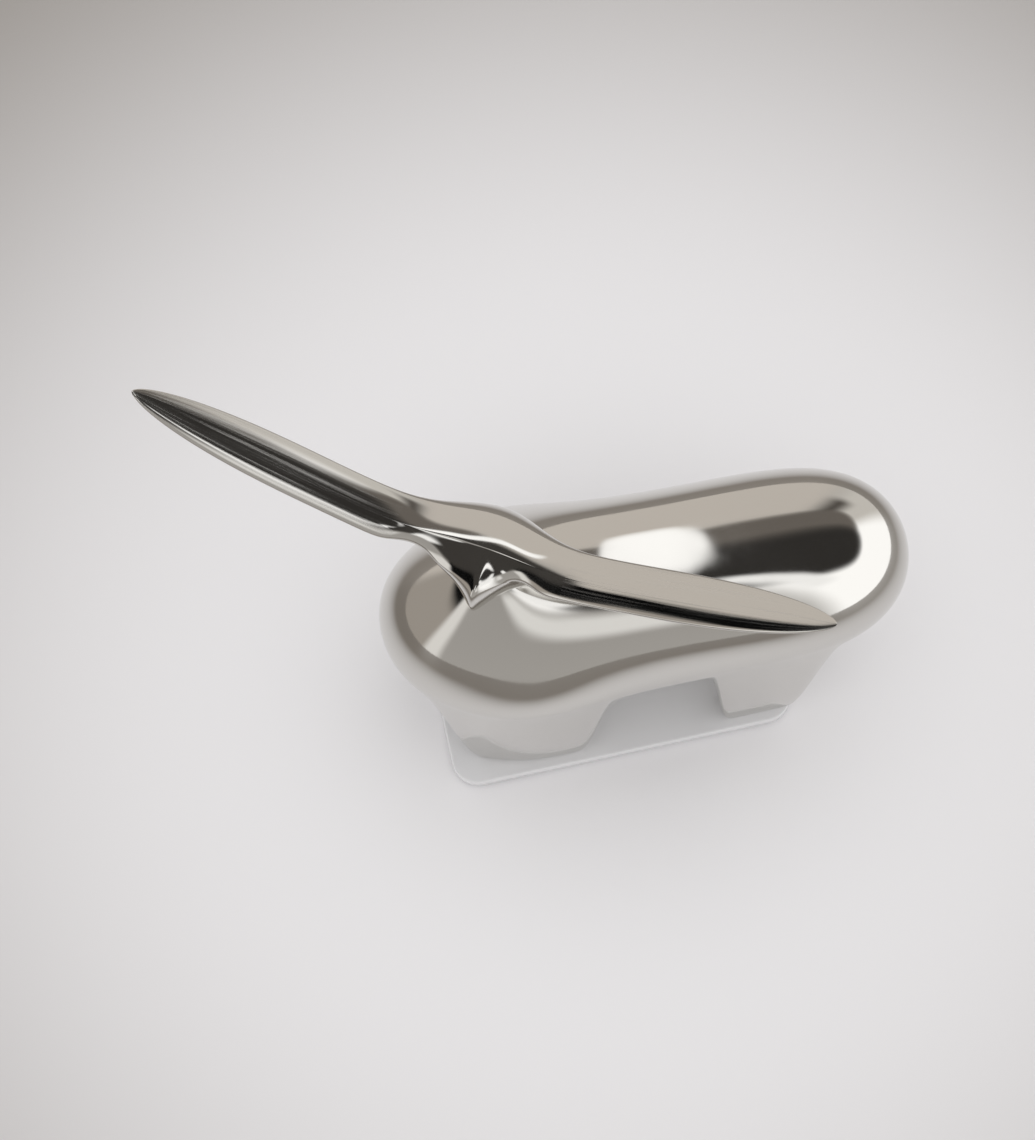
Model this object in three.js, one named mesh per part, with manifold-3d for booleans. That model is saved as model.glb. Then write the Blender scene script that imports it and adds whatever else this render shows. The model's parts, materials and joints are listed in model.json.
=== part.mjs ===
// A polished cast bull ornament: a hollow body casting with neck and legs, a turned head casting,
// two blade horns on studs, the stud that ties the head down, and a thin base plate with its
// screws and felt. The bull faces -X, its right side is +Y, and +Z is up. All sizes are millimetres,
// angles are degrees, and the origin is the centre of the felt's underside.
import * as THREE from "three";
import { mergeVertices } from "three/addons/utils/BufferGeometryUtils.js";
import Module from "manifold-3d";

const wasm = await Module();
wasm.setup();

// Clearance between pieces that fit together
const FIT = 0.3;

// Torso, with places along it measured back from the chest's foremost point
const BODY_LENGTH = 134;
const CHEST_HALF_WIDTH = 25.4;
const WAIST_HALF_WIDTH = 24.6;
const RUMP_HALF_WIDTH = 25;
const CHEST_HALF_HEIGHT = 25;
const WAIST_HALF_HEIGHT = 23.6;
const RUMP_HALF_HEIGHT = 22;
const CHEST_PLACE = 28.5;
const RUMP_PLACE = 108.5;
const SWELL_SPREAD = 26;
const END_FULLNESS = 4.8;
const BODY_BEND = 4.5;
const AXIS_OVER_SOLE = 49;
const WALL = 4;

// Legs
const FRONT_LEG_PLACE = 19.5;
const FRONT_LEG_LENGTH = 24;
const FRONT_LEG_LEAD = 14;
const FRONT_LEG_TRAIL = 12;
const REAR_LEG_PLACE = 86.5;
const REAR_LEG_LENGTH = 15;
const REAR_LEG_LEAD = 9;
const REAR_LEG_TRAIL = 12;
const LEG_OUTER_ANGLE = 24;
const LEG_OUTER_BLEND = 22;
const LEG_INNER_ANGLE = 50;
const LEG_INNER_BLEND = 18;
const SHOULDER_FLARE = 3.2;
const SHOULDER_SPREAD = 22;
const SHOULDER_BREADTH = 25;

// Neck mound and head, with the poll as the point between the horns
const NECK_RISE = 6;
const NECK_SPREAD = 14;
const POLL_PLACE = 28.4;
const POLL_SIDE = 3.5;
const POLL_OVER_NECK = 4.1;
const HEAD_TURN = 32.5;
const HEAD_HALF_WIDTH = 21;
const HEAD_THICKENING = 2.2;
const HEAD_PITCH = 18;
const PITCH_SPREAD = 16;
const SNOUT_LENGTH = 8.9;
const SNOUT_DROP = 44;
const SNOUT_BREADTH = 60;
const SNOUT_SPREAD = 6;
const SNOUT_TIP = 0.9;
const SNOUT_SIDE = 1.5;
const CHEEK_DEPTH = 3.2;
const CHEEK_DROP = 15;
const CHEEK_BREADTH = 40;
const CHEEK_SPREAD = 5;
const CHEEK_REACH = 13;
const CHEEK_SIDE = -3;
const NAPE_LENGTH = 9.5;
const NAPE_ANGLE = 166;
const NAPE_BREADTH = 62;
const NAPE_SPREAD = 14;

// Horns: a flat blade, shallow above and deeper below, with round edges and its ridge nearer the front
const HORN_REACH = 83.3;
const HORN_RAISE = 27;
const HORN_FORWARD = 1.2;
const HORN_BEND = 20;
const HORN_HALF_WIDTH = 4.45;
const HORN_TOP = 1.3;
const HORN_UNDER = 3;
const HORN_EDGE = 1.8;
const HORN_RIDGE = 0.45;
const HORN_ROOT_SHARE = 0.93;
const ROOT_BLEND_FROM = 0.03;
const ROOT_BLEND_TO = 0.38;
const TAPER_POWER = 2.5;
const TIP_POWER = 0.6;
const DIAMOND_POWER = 1.08;
const RIDGE_SHIFT = 1.6;

// Studs, nut and washer
const HORN_STUD_DIAMETER = 3;
const HORN_STUD_DEPTH = 8;
const HORN_STUD_DROP = 0.8;
const HORN_STUD_BACK = 0.4;
const NECK_STUD_DIAMETER = 5;
const NECK_STUD_BITE = 5;
const NUT_ACROSS_FLATS = 8;
const NUT_HEIGHT = 4;
const WASHER_DIAMETER = 10;
const WASHER_THICKNESS = 1;
const SPOT_FACE_DEPTH = 1.5;

// Core hole and its plug
const CORE_HOLE_DIAMETER = 18;
const CORE_HOLE_PLACE = 65;
const PLUG_THICKNESS = 4;

// Base plate, felt and screws
const PLATE_THICKNESS = 3;
const PLATE_FRONT_MARGIN = 9;
const PLATE_REAR_MARGIN = 2;
const PLATE_SIDE_MARGIN = 3;
const PLATE_CORNER = 7;
const PLATE_EDGE = 0.6;
const FELT_THICKNESS = 1;
const FELT_INSET = 2;
const SCREW_DIAMETER = 3;
const SCREW_HEAD_DIAMETER = 6;
const SCREW_BITE = 9;

const SOLE_Z = FELT_THICKNESS + PLATE_THICKNESS;
const AXIS_Z = SOLE_Z + AXIS_OVER_SOLE;

const polishedAluminium = () =>
  new THREE.MeshStandardMaterial({ color: 0xd9d6d2, roughness: 0.08, metalness: 1 });
const paleLacquer = () =>
  new THREE.MeshStandardMaterial({ color: 0xdcdbdc, roughness: 0.2, metalness: 0 });
const zincSteel = () =>
  new THREE.MeshStandardMaterial({ color: 0xb4b6b8, roughness: 0.35, metalness: 1 });
const darkFelt = () =>
  new THREE.MeshStandardMaterial({ color: 0x2b2b2d, roughness: 1, metalness: 0 });

// A step from 0 to 1 between two places, level at both ends.
function smooth(from, to, x) {
  const t = Math.min(Math.max((x - from) / (to - from), 0), 1);
  return t * t * t * (t * (6 * t - 15) + 10);
}

const bell = (x, spread) => Math.exp(-((x / spread) ** 2));
const degrees = THREE.MathUtils.degToRad;

// The torso's centre line swings to the right towards the chest.
function axisY(x) {
  const ahead = Math.max((RUMP_PLACE - x) / RUMP_PLACE, 0);
  return BODY_BEND * ahead * ahead;
}

// Half width and half height of the torso's oval at x, grown all round by a margin, and how much of
// its full size it has there, from 0 at the ends to 1.
function oval(x, grow) {
  const share = (2 * x - BODY_LENGTH) / (BODY_LENGTH + 2 * grow);
  const end = Math.sqrt(Math.max(1 - Math.abs(share) ** END_FULLNESS, 0));
  const chest = bell(x - CHEST_PLACE, SWELL_SPREAD);
  const rump = bell(x - RUMP_PLACE, SWELL_SPREAD);
  const mix = (waist, front, rear) =>
    end * (waist + (front - waist) * chest + (rear - waist) * rump + grow);
  return {
    end,
    width: mix(WAIST_HALF_WIDTH, CHEST_HALF_WIDTH, RUMP_HALF_WIDTH),
    height: mix(WAIST_HALF_HEIGHT, CHEST_HALF_HEIGHT, RUMP_HALF_HEIGHT),
  };
}

// How much of a leg stands at x, from 0 to 1.
function legAlong(x) {
  const stand = (place, length, lead, trail) =>
    smooth(place - lead, place, x) * (1 - smooth(place + length, place + length + trail, x));
  return (
    stand(FRONT_LEG_PLACE, FRONT_LEG_LENGTH, FRONT_LEG_LEAD, FRONT_LEG_TRAIL) +
    stand(REAR_LEG_PLACE, REAR_LEG_LENGTH, REAR_LEG_LEAD, REAR_LEG_TRAIL)
  );
}

// How much of a leg stands at an angle below the torso's widest line, from 0 to 1.
function legAround(below) {
  return (
    smooth(LEG_OUTER_ANGLE - LEG_OUTER_BLEND, LEG_OUTER_ANGLE, below) *
    (1 - smooth(LEG_INNER_ANGLE, LEG_INNER_ANGLE + LEG_INNER_BLEND, below))
  );
}

const POLL_Y = axisY(POLL_PLACE) + POLL_SIDE;
const NECK_Z = AXIS_Z + oval(POLL_PLACE, 0).height + NECK_RISE;
const POLL = new THREE.Vector3(POLL_PLACE, POLL_Y, NECK_Z + POLL_OVER_NECK);

// A point of the torso's oval at x, at an angle from the right side up.
function torsoPoint(x, angle, grow) {
  const { width, height } = oval(x, grow);
  return new THREE.Vector3(
    x,
    axisY(x) + width * Math.cos(angle),
    AXIS_Z + height * Math.sin(angle),
  );
}

// A point of the whole body: the legs draw the underside down to the soles, the shoulders flare out
// over the front legs, and the neck draws the top up under the head.
function bodyPoint(x, angle, grow) {
  const point = torsoPoint(x, angle, grow);
  const below = THREE.MathUtils.radToDeg(Math.asin(-Math.sin(angle)));
  point.z += (SOLE_Z - point.z) * legAlong(x) * legAround(below);
  const shoulder = bell(x - FRONT_LEG_PLACE - FRONT_LEG_LENGTH / 2, SHOULDER_SPREAD);
  const flare = SHOULDER_FLARE * shoulder * bell(below, SHOULDER_BREADTH);
  point.y += flare * oval(x, grow).end * Math.sign(Math.cos(angle));
  const reach = Math.hypot(point.x - POLL.x, point.y - POLL.y);
  point.z += NECK_RISE * bell(reach, NECK_SPREAD) * smooth(0, 0.6, Math.sin(angle));
  return point;
}

// A closed skin over rings of equal count, drawn together to a point at each end.
function skin(rings, first, last) {
  const count = rings[0].length;
  const points = [first, ...rings.flat(), last];
  const end = points.length - 1;
  const index = [];
  for (let j = 0; j < count; j++) {
    const k = (j + 1) % count;
    index.push(0, 1 + k, 1 + j);
    for (let i = 0; i + 1 < rings.length; i++) {
      const near = 1 + i * count;
      const far = near + count;
      index.push(near + j, far + k, far + j, near + j, near + k, far + k);
    }
    const rim = end - count;
    index.push(end, rim + j, rim + k);
  }
  return new THREE.BufferGeometry().setFromPoints(points).setIndex(index);
}

// Places along the body from pole to pole, closer together at the ends.
function stationsAlong(count, grow) {
  const places = [];
  for (let i = 1; i < count; i++) {
    const even = (2 * i) / count - 1;
    const crowded = -Math.cos((Math.PI * i) / count);
    const share = 0.4 * even + 0.6 * crowded;
    places.push(BODY_LENGTH / 2 + share * (BODY_LENGTH / 2 + grow));
  }
  return places;
}

// Angles round the body, closer together below the widest line where the legs are.
function anglesAround(above, below) {
  const angles = [];
  for (let i = 0; i < above; i++) angles.push((Math.PI * i) / above);
  for (let i = 0; i < below; i++) angles.push(Math.PI + (Math.PI * i) / below);
  return angles;
}

// The skin of the torso or the body, from a function of place, angle and growth.
function bodySkin(pointAt, grow, along, above, below) {
  const angles = anglesAround(above, below);
  const rings = stationsAlong(along, grow).map((x) => angles.map((a) => pointAt(x, a, grow)));
  const pole = (x) => new THREE.Vector3(x, axisY(x), AXIS_Z);
  return skin(rings, pole(-grow), pole(BODY_LENGTH + grow));
}

// The head's own directions: across towards the left horn, ahead along the snout, and up.
const ACROSS = new THREE.Vector3(Math.cos(degrees(HEAD_TURN)), -Math.sin(degrees(HEAD_TURN)), 0);
const AHEAD = new THREE.Vector3(-Math.sin(degrees(HEAD_TURN)), -Math.cos(degrees(HEAD_TURN)), 0);
const UP = new THREE.Vector3(0, 0, 1);

// The line through both horns: level at the poll, then up and a little forward.
function hornLine(across) {
  const along = Math.hypot(across, HORN_BEND) - HORN_BEND;
  return POLL.clone()
    .addScaledVector(ACROSS, across)
    .addScaledVector(AHEAD, along * Math.tan(degrees(HORN_FORWARD)))
    .addScaledVector(UP, along * Math.tan(degrees(HORN_RAISE)));
}

// A lobe of 1 at an angle, falling off round the section.
function lobe(angle, centre, breadth) {
  const away = Math.atan2(Math.sin(angle - degrees(centre)), Math.cos(angle - degrees(centre)));
  return bell(away, degrees(breadth));
}

// The snout's share across the head: a ridge with a rounded crest that falls away on both sides.
function crest(across) {
  const away = Math.hypot(across - SNOUT_SIDE, SNOUT_TIP) - SNOUT_TIP;
  return Math.exp(-away / SNOUT_SPREAD);
}

// The cheeks' share across the head: a hollow on each side of the snout.
function hollows(across) {
  return bell(Math.abs(across - CHEEK_SIDE) - CHEEK_REACH, CHEEK_SPREAD);
}

// A point of the head and horns: a rounded diamond about the horn line, its ridge nearer the front.
// Near the poll the snout and the nape are drawn out of it, the cheeks are hollowed and the face is
// rolled up.
function headPoint(across, angle) {
  const share = Math.abs(across) / HORN_REACH;
  const past = Math.max(2 * share - 1, 0);
  const taper = Math.max(1 - past ** TAPER_POWER, 0) ** TIP_POWER;
  const out = smooth(ROOT_BLEND_FROM, ROOT_BLEND_TO, share);
  const width = HORN_HALF_WIDTH * taper * (HORN_ROOT_SHARE + (1 - HORN_ROOT_SHARE) * out);
  const power = 2 / DIAMOND_POWER;
  const cos = Math.cos(angle);
  const sin = Math.sin(angle);
  const depth = sin > 0 ? HORN_TOP : HORN_UNDER;
  const height = taper * (depth + HEAD_THICKENING * (1 - out));
  const snout = SNOUT_LENGTH * crest(across) * lobe(angle, -SNOUT_DROP, SNOUT_BREADTH);
  const nape = NAPE_LENGTH * bell(across, NAPE_SPREAD) * lobe(angle, -NAPE_ANGLE, NAPE_BREADTH);
  const cheeks = CHEEK_DEPTH * hollows(across) * lobe(angle, -CHEEK_DROP, CHEEK_BREADTH);
  const round = taper * (HORN_EDGE * cos * cos + HORN_RIDGE * sin * sin) + snout + nape - cheeks;
  const shift = RIDGE_SHIFT * taper * Math.max(sin, 0) ** power;
  const ahead = width * Math.sign(cos) * Math.abs(cos) ** power + round * cos + shift;
  const up = height * Math.sign(sin) * Math.abs(sin) ** power + round * sin;
  const roll = degrees(HEAD_PITCH * bell(across, PITCH_SPREAD));
  return hornLine(across)
    .addScaledVector(AHEAD, ahead * Math.cos(roll) - up * Math.sin(roll))
    .addScaledVector(UP, ahead * Math.sin(roll) + up * Math.cos(roll));
}

// The skin of the head from one horn joint to the other, with its rings closer near the snout.
function headSkin(along, around) {
  const rings = [];
  for (let i = 0; i <= along; i++) {
    const share = (2 * i) / along - 1;
    const across = (HEAD_HALF_WIDTH * (share + share ** 3)) / 2;
    const ring = [];
    for (let j = 0; j < around; j++) ring.push(headPoint(across, (-2 * Math.PI * j) / around));
    rings.push(ring);
  }
  return skin(rings, hornLine(-HEAD_HALF_WIDTH), hornLine(HEAD_HALF_WIDTH));
}

// A horn as if on the left, from its joint face out to the tip; side is 1 for left and -1 for right.
function hornSkin(side, along, around) {
  const root = HEAD_HALF_WIDTH + FIT;
  const rings = [];
  for (let i = 0; i < along; i++) {
    const share = Math.sin((Math.PI / 2) * (i / along));
    const across = side * (root + (HORN_REACH - root) * share);
    const ring = [];
    for (let j = 0; j < around; j++) {
      ring.push(headPoint(across, (-side * 2 * Math.PI * j) / around));
    }
    rings.push(ring);
  }
  return skin(rings, hornLine(side * root), hornLine(side * HORN_REACH));
}

// A closed geometry as a solid that can be cut and joined.
function solid(geometry) {
  const bare = geometry.clone();
  bare.deleteAttribute("normal");
  bare.deleteAttribute("uv");
  const merged = mergeVertices(bare, 1e-4);
  return new wasm.Manifold(
    new wasm.Mesh({
      numProp: 3,
      vertProperties: new Float32Array(merged.attributes.position.array),
      triVerts: new Uint32Array(merged.index.array),
    }),
  );
}

function geometryOf(body) {
  const { vertProperties, triVerts } = body.getMesh();
  return new THREE.BufferGeometry()
    .setAttribute("position", new THREE.BufferAttribute(vertProperties, 3))
    .setIndex(new THREE.BufferAttribute(triVerts, 1));
}

// An upright round bar between two heights at a point of the plan.
function bar(x, y, low, high, diameter, sides = 24) {
  return new THREE.CylinderGeometry(diameter / 2, diameter / 2, high - low, sides)
    .rotateX(Math.PI / 2)
    .translate(x, y, (low + high) / 2);
}

// A round bar through a point along a direction, reaching a length each way.
function barAlong(centre, direction, reach, diameter) {
  const turn = new THREE.Quaternion().setFromUnitVectors(new THREE.Vector3(0, 1, 0), direction);
  return new THREE.CylinderGeometry(diameter / 2, diameter / 2, 2 * reach, 24)
    .applyQuaternion(turn)
    .translate(centre.x, centre.y, centre.z);
}

// A countersunk screw pointing up from a height, grown all round by a clearance.
function screw(x, y, bottom, grow) {
  const head = SCREW_HEAD_DIAMETER / 2 + grow;
  const shank = SCREW_DIAMETER / 2 + grow;
  const top = SOLE_Z + SCREW_BITE + grow - bottom;
  const profile = [
    [0, 0],
    [head, 0],
    [shank, head - shank],
    [shank, top],
    [0, top],
  ].map(([r, z]) => new THREE.Vector2(r, z));
  return new THREE.LatheGeometry(profile, 16).rotateX(Math.PI / 2).translate(x, y, bottom);
}

// A rectangle with round corners between two corners, as a flat shape.
function roundedRectangle(low, high, radius) {
  const shape = new THREE.Shape();
  shape.absarc(high.x - radius, high.y - radius, radius, 0, Math.PI / 2);
  shape.absarc(low.x + radius, high.y - radius, radius, Math.PI / 2, Math.PI);
  shape.absarc(low.x + radius, low.y + radius, radius, Math.PI, 1.5 * Math.PI);
  shape.absarc(high.x - radius, low.y + radius, radius, 1.5 * Math.PI, 2 * Math.PI);
  return shape;
}

const bull = new THREE.Group();

function piece(name, geometry, material) {
  const mesh = new THREE.Mesh(geometry, material);
  mesh.name = name;
  mesh.geometry.computeVertexNormals();
  bull.add(mesh);
}

// The four soles, with a screw up into each.
const legs = [];
for (const [row, place, length] of [
  ["front", FRONT_LEG_PLACE, FRONT_LEG_LENGTH],
  ["rear", REAR_LEG_PLACE, REAR_LEG_LENGTH],
]) {
  for (const side of ["left", "right"]) {
    const x = place + length / 2;
    const turn = (below) => (side === "left" ? 180 + below : -below);
    const soleY = (below) => bodyPoint(x, degrees(turn(below)), 0).y;
    const outerY = soleY(LEG_OUTER_ANGLE);
    const y = (outerY + soleY(LEG_INNER_ANGLE)) / 2;
    legs.push({ name: `base_screw_${row}_${side}`, x, y, outerY });
  }
}

// The plate reaches past the soles by its margins.
const outerYs = legs.map((leg) => leg.outerY);
const plateLow = new THREE.Vector2(
  FRONT_LEG_PLACE - PLATE_FRONT_MARGIN,
  Math.min(...outerYs) - PLATE_SIDE_MARGIN,
);
const plateHigh = new THREE.Vector2(
  REAR_LEG_PLACE + REAR_LEG_LENGTH + PLATE_REAR_MARGIN,
  Math.max(...outerYs) + PLATE_SIDE_MARGIN,
);

// Body casting: hollow, open at the belly's core hole, drilled for the neck stud and the screws.
const bellyX = CORE_HOLE_PLACE;
const bellyZ = AXIS_Z - oval(bellyX, 0).height;
const roofZ = AXIS_Z + oval(POLL_PLACE, -WALL).height + SPOT_FACE_DEPTH;
const spotFace = WASHER_DIAMETER + 2 * FIT;
let body = solid(bodySkin(bodyPoint, 0, 44, 14, 30))
  .subtract(solid(bodySkin(torsoPoint, -WALL, 20, 8, 8)))
  .subtract(solid(bar(bellyX, axisY(bellyX), bellyZ - WALL, AXIS_Z, CORE_HOLE_DIAMETER, 32)))
  .subtract(solid(bar(POLL.x, POLL.y, AXIS_Z, roofZ, spotFace)))
  .subtract(solid(bar(POLL.x, POLL.y, AXIS_Z, POLL.z, NECK_STUD_DIAMETER + 2 * FIT)));
for (const leg of legs) {
  body = body.subtract(solid(screw(leg.x, leg.y, FELT_THICKNESS, FIT)));
}
piece("body_casting", geometryOf(body), polishedAluminium());

// Head casting: seated on the neck mound, drilled for the neck stud and both horn studs.
const hornJoint = (side) => {
  const here = hornLine(side * HEAD_HALF_WIDTH);
  const out = hornLine(side * (HEAD_HALF_WIDTH + FIT)).sub(here).normalize();
  const centre = here
    .addScaledVector(out, FIT / 2)
    .addScaledVector(AHEAD, -HORN_STUD_BACK)
    .addScaledVector(UP, -HORN_STUD_DROP);
  return { centre, out };
};
const hornSides = [
  ["left", 1],
  ["right", -1],
];
const studTop = NECK_Z + NECK_STUD_BITE;
let head = solid(headSkin(30, 32))
  .subtract(solid(bodySkin(bodyPoint, FIT, 44, 24, 30)))
  .subtract(solid(bar(POLL.x, POLL.y, AXIS_Z, studTop + FIT, NECK_STUD_DIAMETER + 2 * FIT)));
const studHole = HORN_STUD_DIAMETER + 2 * FIT;
for (const [, side] of hornSides) {
  const { centre, out } = hornJoint(side);
  head = head.subtract(solid(barAlong(centre, out, HORN_STUD_DEPTH + FIT, studHole)));
}
piece("head_casting", geometryOf(head), polishedAluminium());

// Horns and the studs that carry them
for (const [name, side] of hornSides) {
  const { centre, out } = hornJoint(side);
  const hole = solid(barAlong(centre, out, HORN_STUD_DEPTH + FIT, studHole));
  const horn = solid(hornSkin(side, 14, 24)).subtract(hole);
  piece(`${name}_horn`, geometryOf(horn), polishedAluminium());
  const stud = barAlong(centre, out, HORN_STUD_DEPTH, HORN_STUD_DIAMETER);
  piece(`${name}_horn_stud`, stud, zincSteel());
}

// Neck stud, with its washer and nut up against the spot face inside the body
const washerZ = roofZ - WASHER_THICKNESS;
const nutZ = washerZ - NUT_HEIGHT;
const nutCorners = (2 * NUT_ACROSS_FLATS) / Math.sqrt(3);
const studClear = NECK_STUD_DIAMETER + 2 * FIT;
const neckHole = solid(bar(POLL.x, POLL.y, nutZ - NUT_HEIGHT, roofZ + NUT_HEIGHT, studClear));
const washer = solid(bar(POLL.x, POLL.y, washerZ, roofZ, WASHER_DIAMETER)).subtract(neckHole);
const nut = solid(bar(POLL.x, POLL.y, nutZ, washerZ, nutCorners, 6)).subtract(neckHole);
const stud = bar(POLL.x, POLL.y, nutZ - WASHER_THICKNESS, studTop, NECK_STUD_DIAMETER);
piece("neck_stud", stud, zincSteel());
piece("neck_washer", geometryOf(washer), zincSteel());
piece("neck_nut", geometryOf(nut), zincSteel());

// Belly plug in the core hole
const plugWidth = CORE_HOLE_DIAMETER - 2 * FIT;
const plug = bar(bellyX, axisY(bellyX), bellyZ, bellyZ + PLUG_THICKNESS, plugWidth, 32);
piece("belly_plug", plug, polishedAluminium());

// Base plate with its countersunk holes, the screws and the felt
const flatCorner = PLATE_CORNER - PLATE_EDGE;
const plateOutline = roundedRectangle(
  plateLow.clone().addScalar(PLATE_EDGE),
  plateHigh.clone().addScalar(-PLATE_EDGE),
  flatCorner,
);
let plate = solid(
  new THREE.ExtrudeGeometry(plateOutline, {
    depth: PLATE_THICKNESS - 2 * PLATE_EDGE,
    bevelSize: PLATE_EDGE,
    bevelThickness: PLATE_EDGE,
    bevelSegments: 2,
    curveSegments: 8,
  }).translate(0, 0, FELT_THICKNESS + PLATE_EDGE),
);
for (const leg of legs) {
  plate = plate.subtract(solid(screw(leg.x, leg.y, FELT_THICKNESS, FIT)));
  piece(leg.name, screw(leg.x, leg.y, FELT_THICKNESS, 0), zincSteel());
}
piece("base_plate", geometryOf(plate), paleLacquer());
const feltOutline = roundedRectangle(
  plateLow.clone().addScalar(FELT_INSET),
  plateHigh.clone().addScalar(-FELT_INSET),
  PLATE_CORNER - FELT_INSET,
);
const felt = new THREE.ExtrudeGeometry(feltOutline, {
  depth: FELT_THICKNESS,
  bevelEnabled: false,
  curveSegments: 8,
});
piece("base_felt", felt, darkFelt());

// The whole stands with the middle of its felt at the origin.
bull.position.set(
  -(plateLow.x + plateHigh.x) / 2,
  -(plateLow.y + plateHigh.y) / 2,
  0,
);
const ornament = new THREE.Group();
ornament.add(bull);

export default ornament;
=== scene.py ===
"""Polished cast bull ornament: fine body, head, horns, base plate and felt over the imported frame."""
import json
import math

import bpy
import numpy as np
from bpy.props import FloatProperty, FloatVectorProperty, PointerProperty
from mathutils import Matrix, Vector


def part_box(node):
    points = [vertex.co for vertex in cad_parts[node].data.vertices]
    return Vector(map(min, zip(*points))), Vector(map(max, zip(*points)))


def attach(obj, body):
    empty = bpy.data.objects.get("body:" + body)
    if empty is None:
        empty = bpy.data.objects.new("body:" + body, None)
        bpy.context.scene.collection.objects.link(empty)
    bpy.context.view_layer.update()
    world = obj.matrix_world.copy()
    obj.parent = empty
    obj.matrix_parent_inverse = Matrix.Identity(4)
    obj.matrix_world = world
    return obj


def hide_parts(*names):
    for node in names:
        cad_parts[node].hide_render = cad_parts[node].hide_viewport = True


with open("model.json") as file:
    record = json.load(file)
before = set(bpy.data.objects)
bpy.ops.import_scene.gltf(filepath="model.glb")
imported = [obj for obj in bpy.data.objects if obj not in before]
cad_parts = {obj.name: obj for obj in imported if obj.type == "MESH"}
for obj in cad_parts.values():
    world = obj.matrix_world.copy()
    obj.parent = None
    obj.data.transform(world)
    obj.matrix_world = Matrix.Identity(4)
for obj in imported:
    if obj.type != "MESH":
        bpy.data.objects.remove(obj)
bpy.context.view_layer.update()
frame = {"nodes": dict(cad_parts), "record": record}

bl_info = {
    "name": "Polished Bull Ornament",
    "version": (1, 0, 0),
    "blender": (4, 5, 0),
    "location": "View3D > Sidebar > Bull",
    "description": "Builds a cast and polished bull ornament on its base plate",
    "category": "Add Mesh",
}

MM = 0.001

# Rings along the fine surfaces, sides round them and steps of their rounded edges
BODY_RINGS = 240
BODY_SIDES = 288
HEAD_RINGS = 141
HORN_RINGS = 150
HEAD_SIDES = 192
CORNER_STEPS = 24
EDGE_STEPS = 14
PLUG_SIDES = 64
PLUG_RIM_STEPS = 8

# Share of the body's rings that is spaced evenly, while the rest crowds towards both ends
EVEN_SHARE = 0.4
# Sine of the angle up the body's side from which the neck has its full height
NECK_FULL_FROM = 0.6
# How far in a slab's flat faces begin, as a share of its corner radius
CAP_INSET = 0.7
# The dimple under the plug: its floor and rim as shares of the radius, its depth as one of the edge
PLUG_DIMPLE = (0.2, 0.22)
PLUG_DIMPLE_DEPTH = 0.6

# Lengths in metres that the maps cover round the body and the horns, and along and round flat pieces
BODY_GIRTH = 0.16
HORN_GIRTH = 0.032
SLAB_MAP = (0.1, 0.3)
PLUG_MAP = (0.02, 0.05)

# The floor's half size in metres, and the distances over which its colour is painted darker: a painted
# pool of light round the ornament
FLOOR_HALF = 40.0
FLOOR_PAINTED_SHADE_FROM = 0.07
FLOOR_PAINTED_SHADE_TO = 0.36

# The camera's sensor width in millimetres, and how near it sees in metres
SENSOR_WIDTH = 36
NEAREST = 0.01


def linear(code):
    """Turns an sRGB hex colour into linear red, green and blue."""
    values = [int(code[i : i + 2], 16) / 255 for i in (1, 3, 5)]
    return [v / 12.92 if v <= 0.04045 else ((v + 0.055) / 1.055) ** 2.4 for v in values]


def length(name, description, millimetres):
    """A length that the user can change, given here in millimetres."""
    return FloatProperty(
        name=name, description=description, default=millimetres * MM, unit="LENGTH", precision=5
    )


def angle(name, description, degrees):
    """An angle that the user can change, given here in degrees."""
    return FloatProperty(
        name=name, description=description, default=math.radians(degrees), subtype="ANGLE"
    )


def number(name, description, value):
    """A plain number that the user can change."""
    return FloatProperty(name=name, description=description, default=value)


def colour(name, description, code):
    """A colour that the user can change, given here as an sRGB hex code."""
    return FloatVectorProperty(
        name=name,
        description=description,
        default=linear(code),
        subtype="COLOR",
        size=3,
        min=0,
        max=1,
    )


def middle(node):
    """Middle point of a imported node's box."""
    low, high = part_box(node)
    return [(a + b) / 2 for a, b in zip(low, high)]


class BullTorso(bpy.types.PropertyGroup):
    """Sizes of the torso, with places along it measured back from the chest's foremost point."""

    body_length: length("Length", "From chest to rump", 134)
    chest_half_width: length("Chest half width", "Half the torso's width at the chest", 25.4)
    waist_half_width: length("Waist half width", "Half the torso's width at the waist", 24.6)
    rump_half_width: length("Rump half width", "Half the torso's width at the rump", 25)
    chest_half_height: length("Chest half height", "Half the torso's height at the chest", 25)
    waist_half_height: length("Waist half height", "Half the torso's height at the waist", 23.6)
    rump_half_height: length("Rump half height", "Half the torso's height at the rump", 22)
    chest_place: length("Chest place", "Where the chest swells most", 28.5)
    rump_place: length("Rump place", "Where the rump swells most", 108.5)
    swell_spread: length("Swell spread", "How far the chest and rump swell along the torso", 26)
    end_fullness: number("End fullness", "Higher is a blunter chest and rump", 4.8)
    bend: length("Bend", "How far the chest swings to the right side", 4.5)
    axis_height: length("Axis height", "Height of the torso's centre line", 53)


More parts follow.
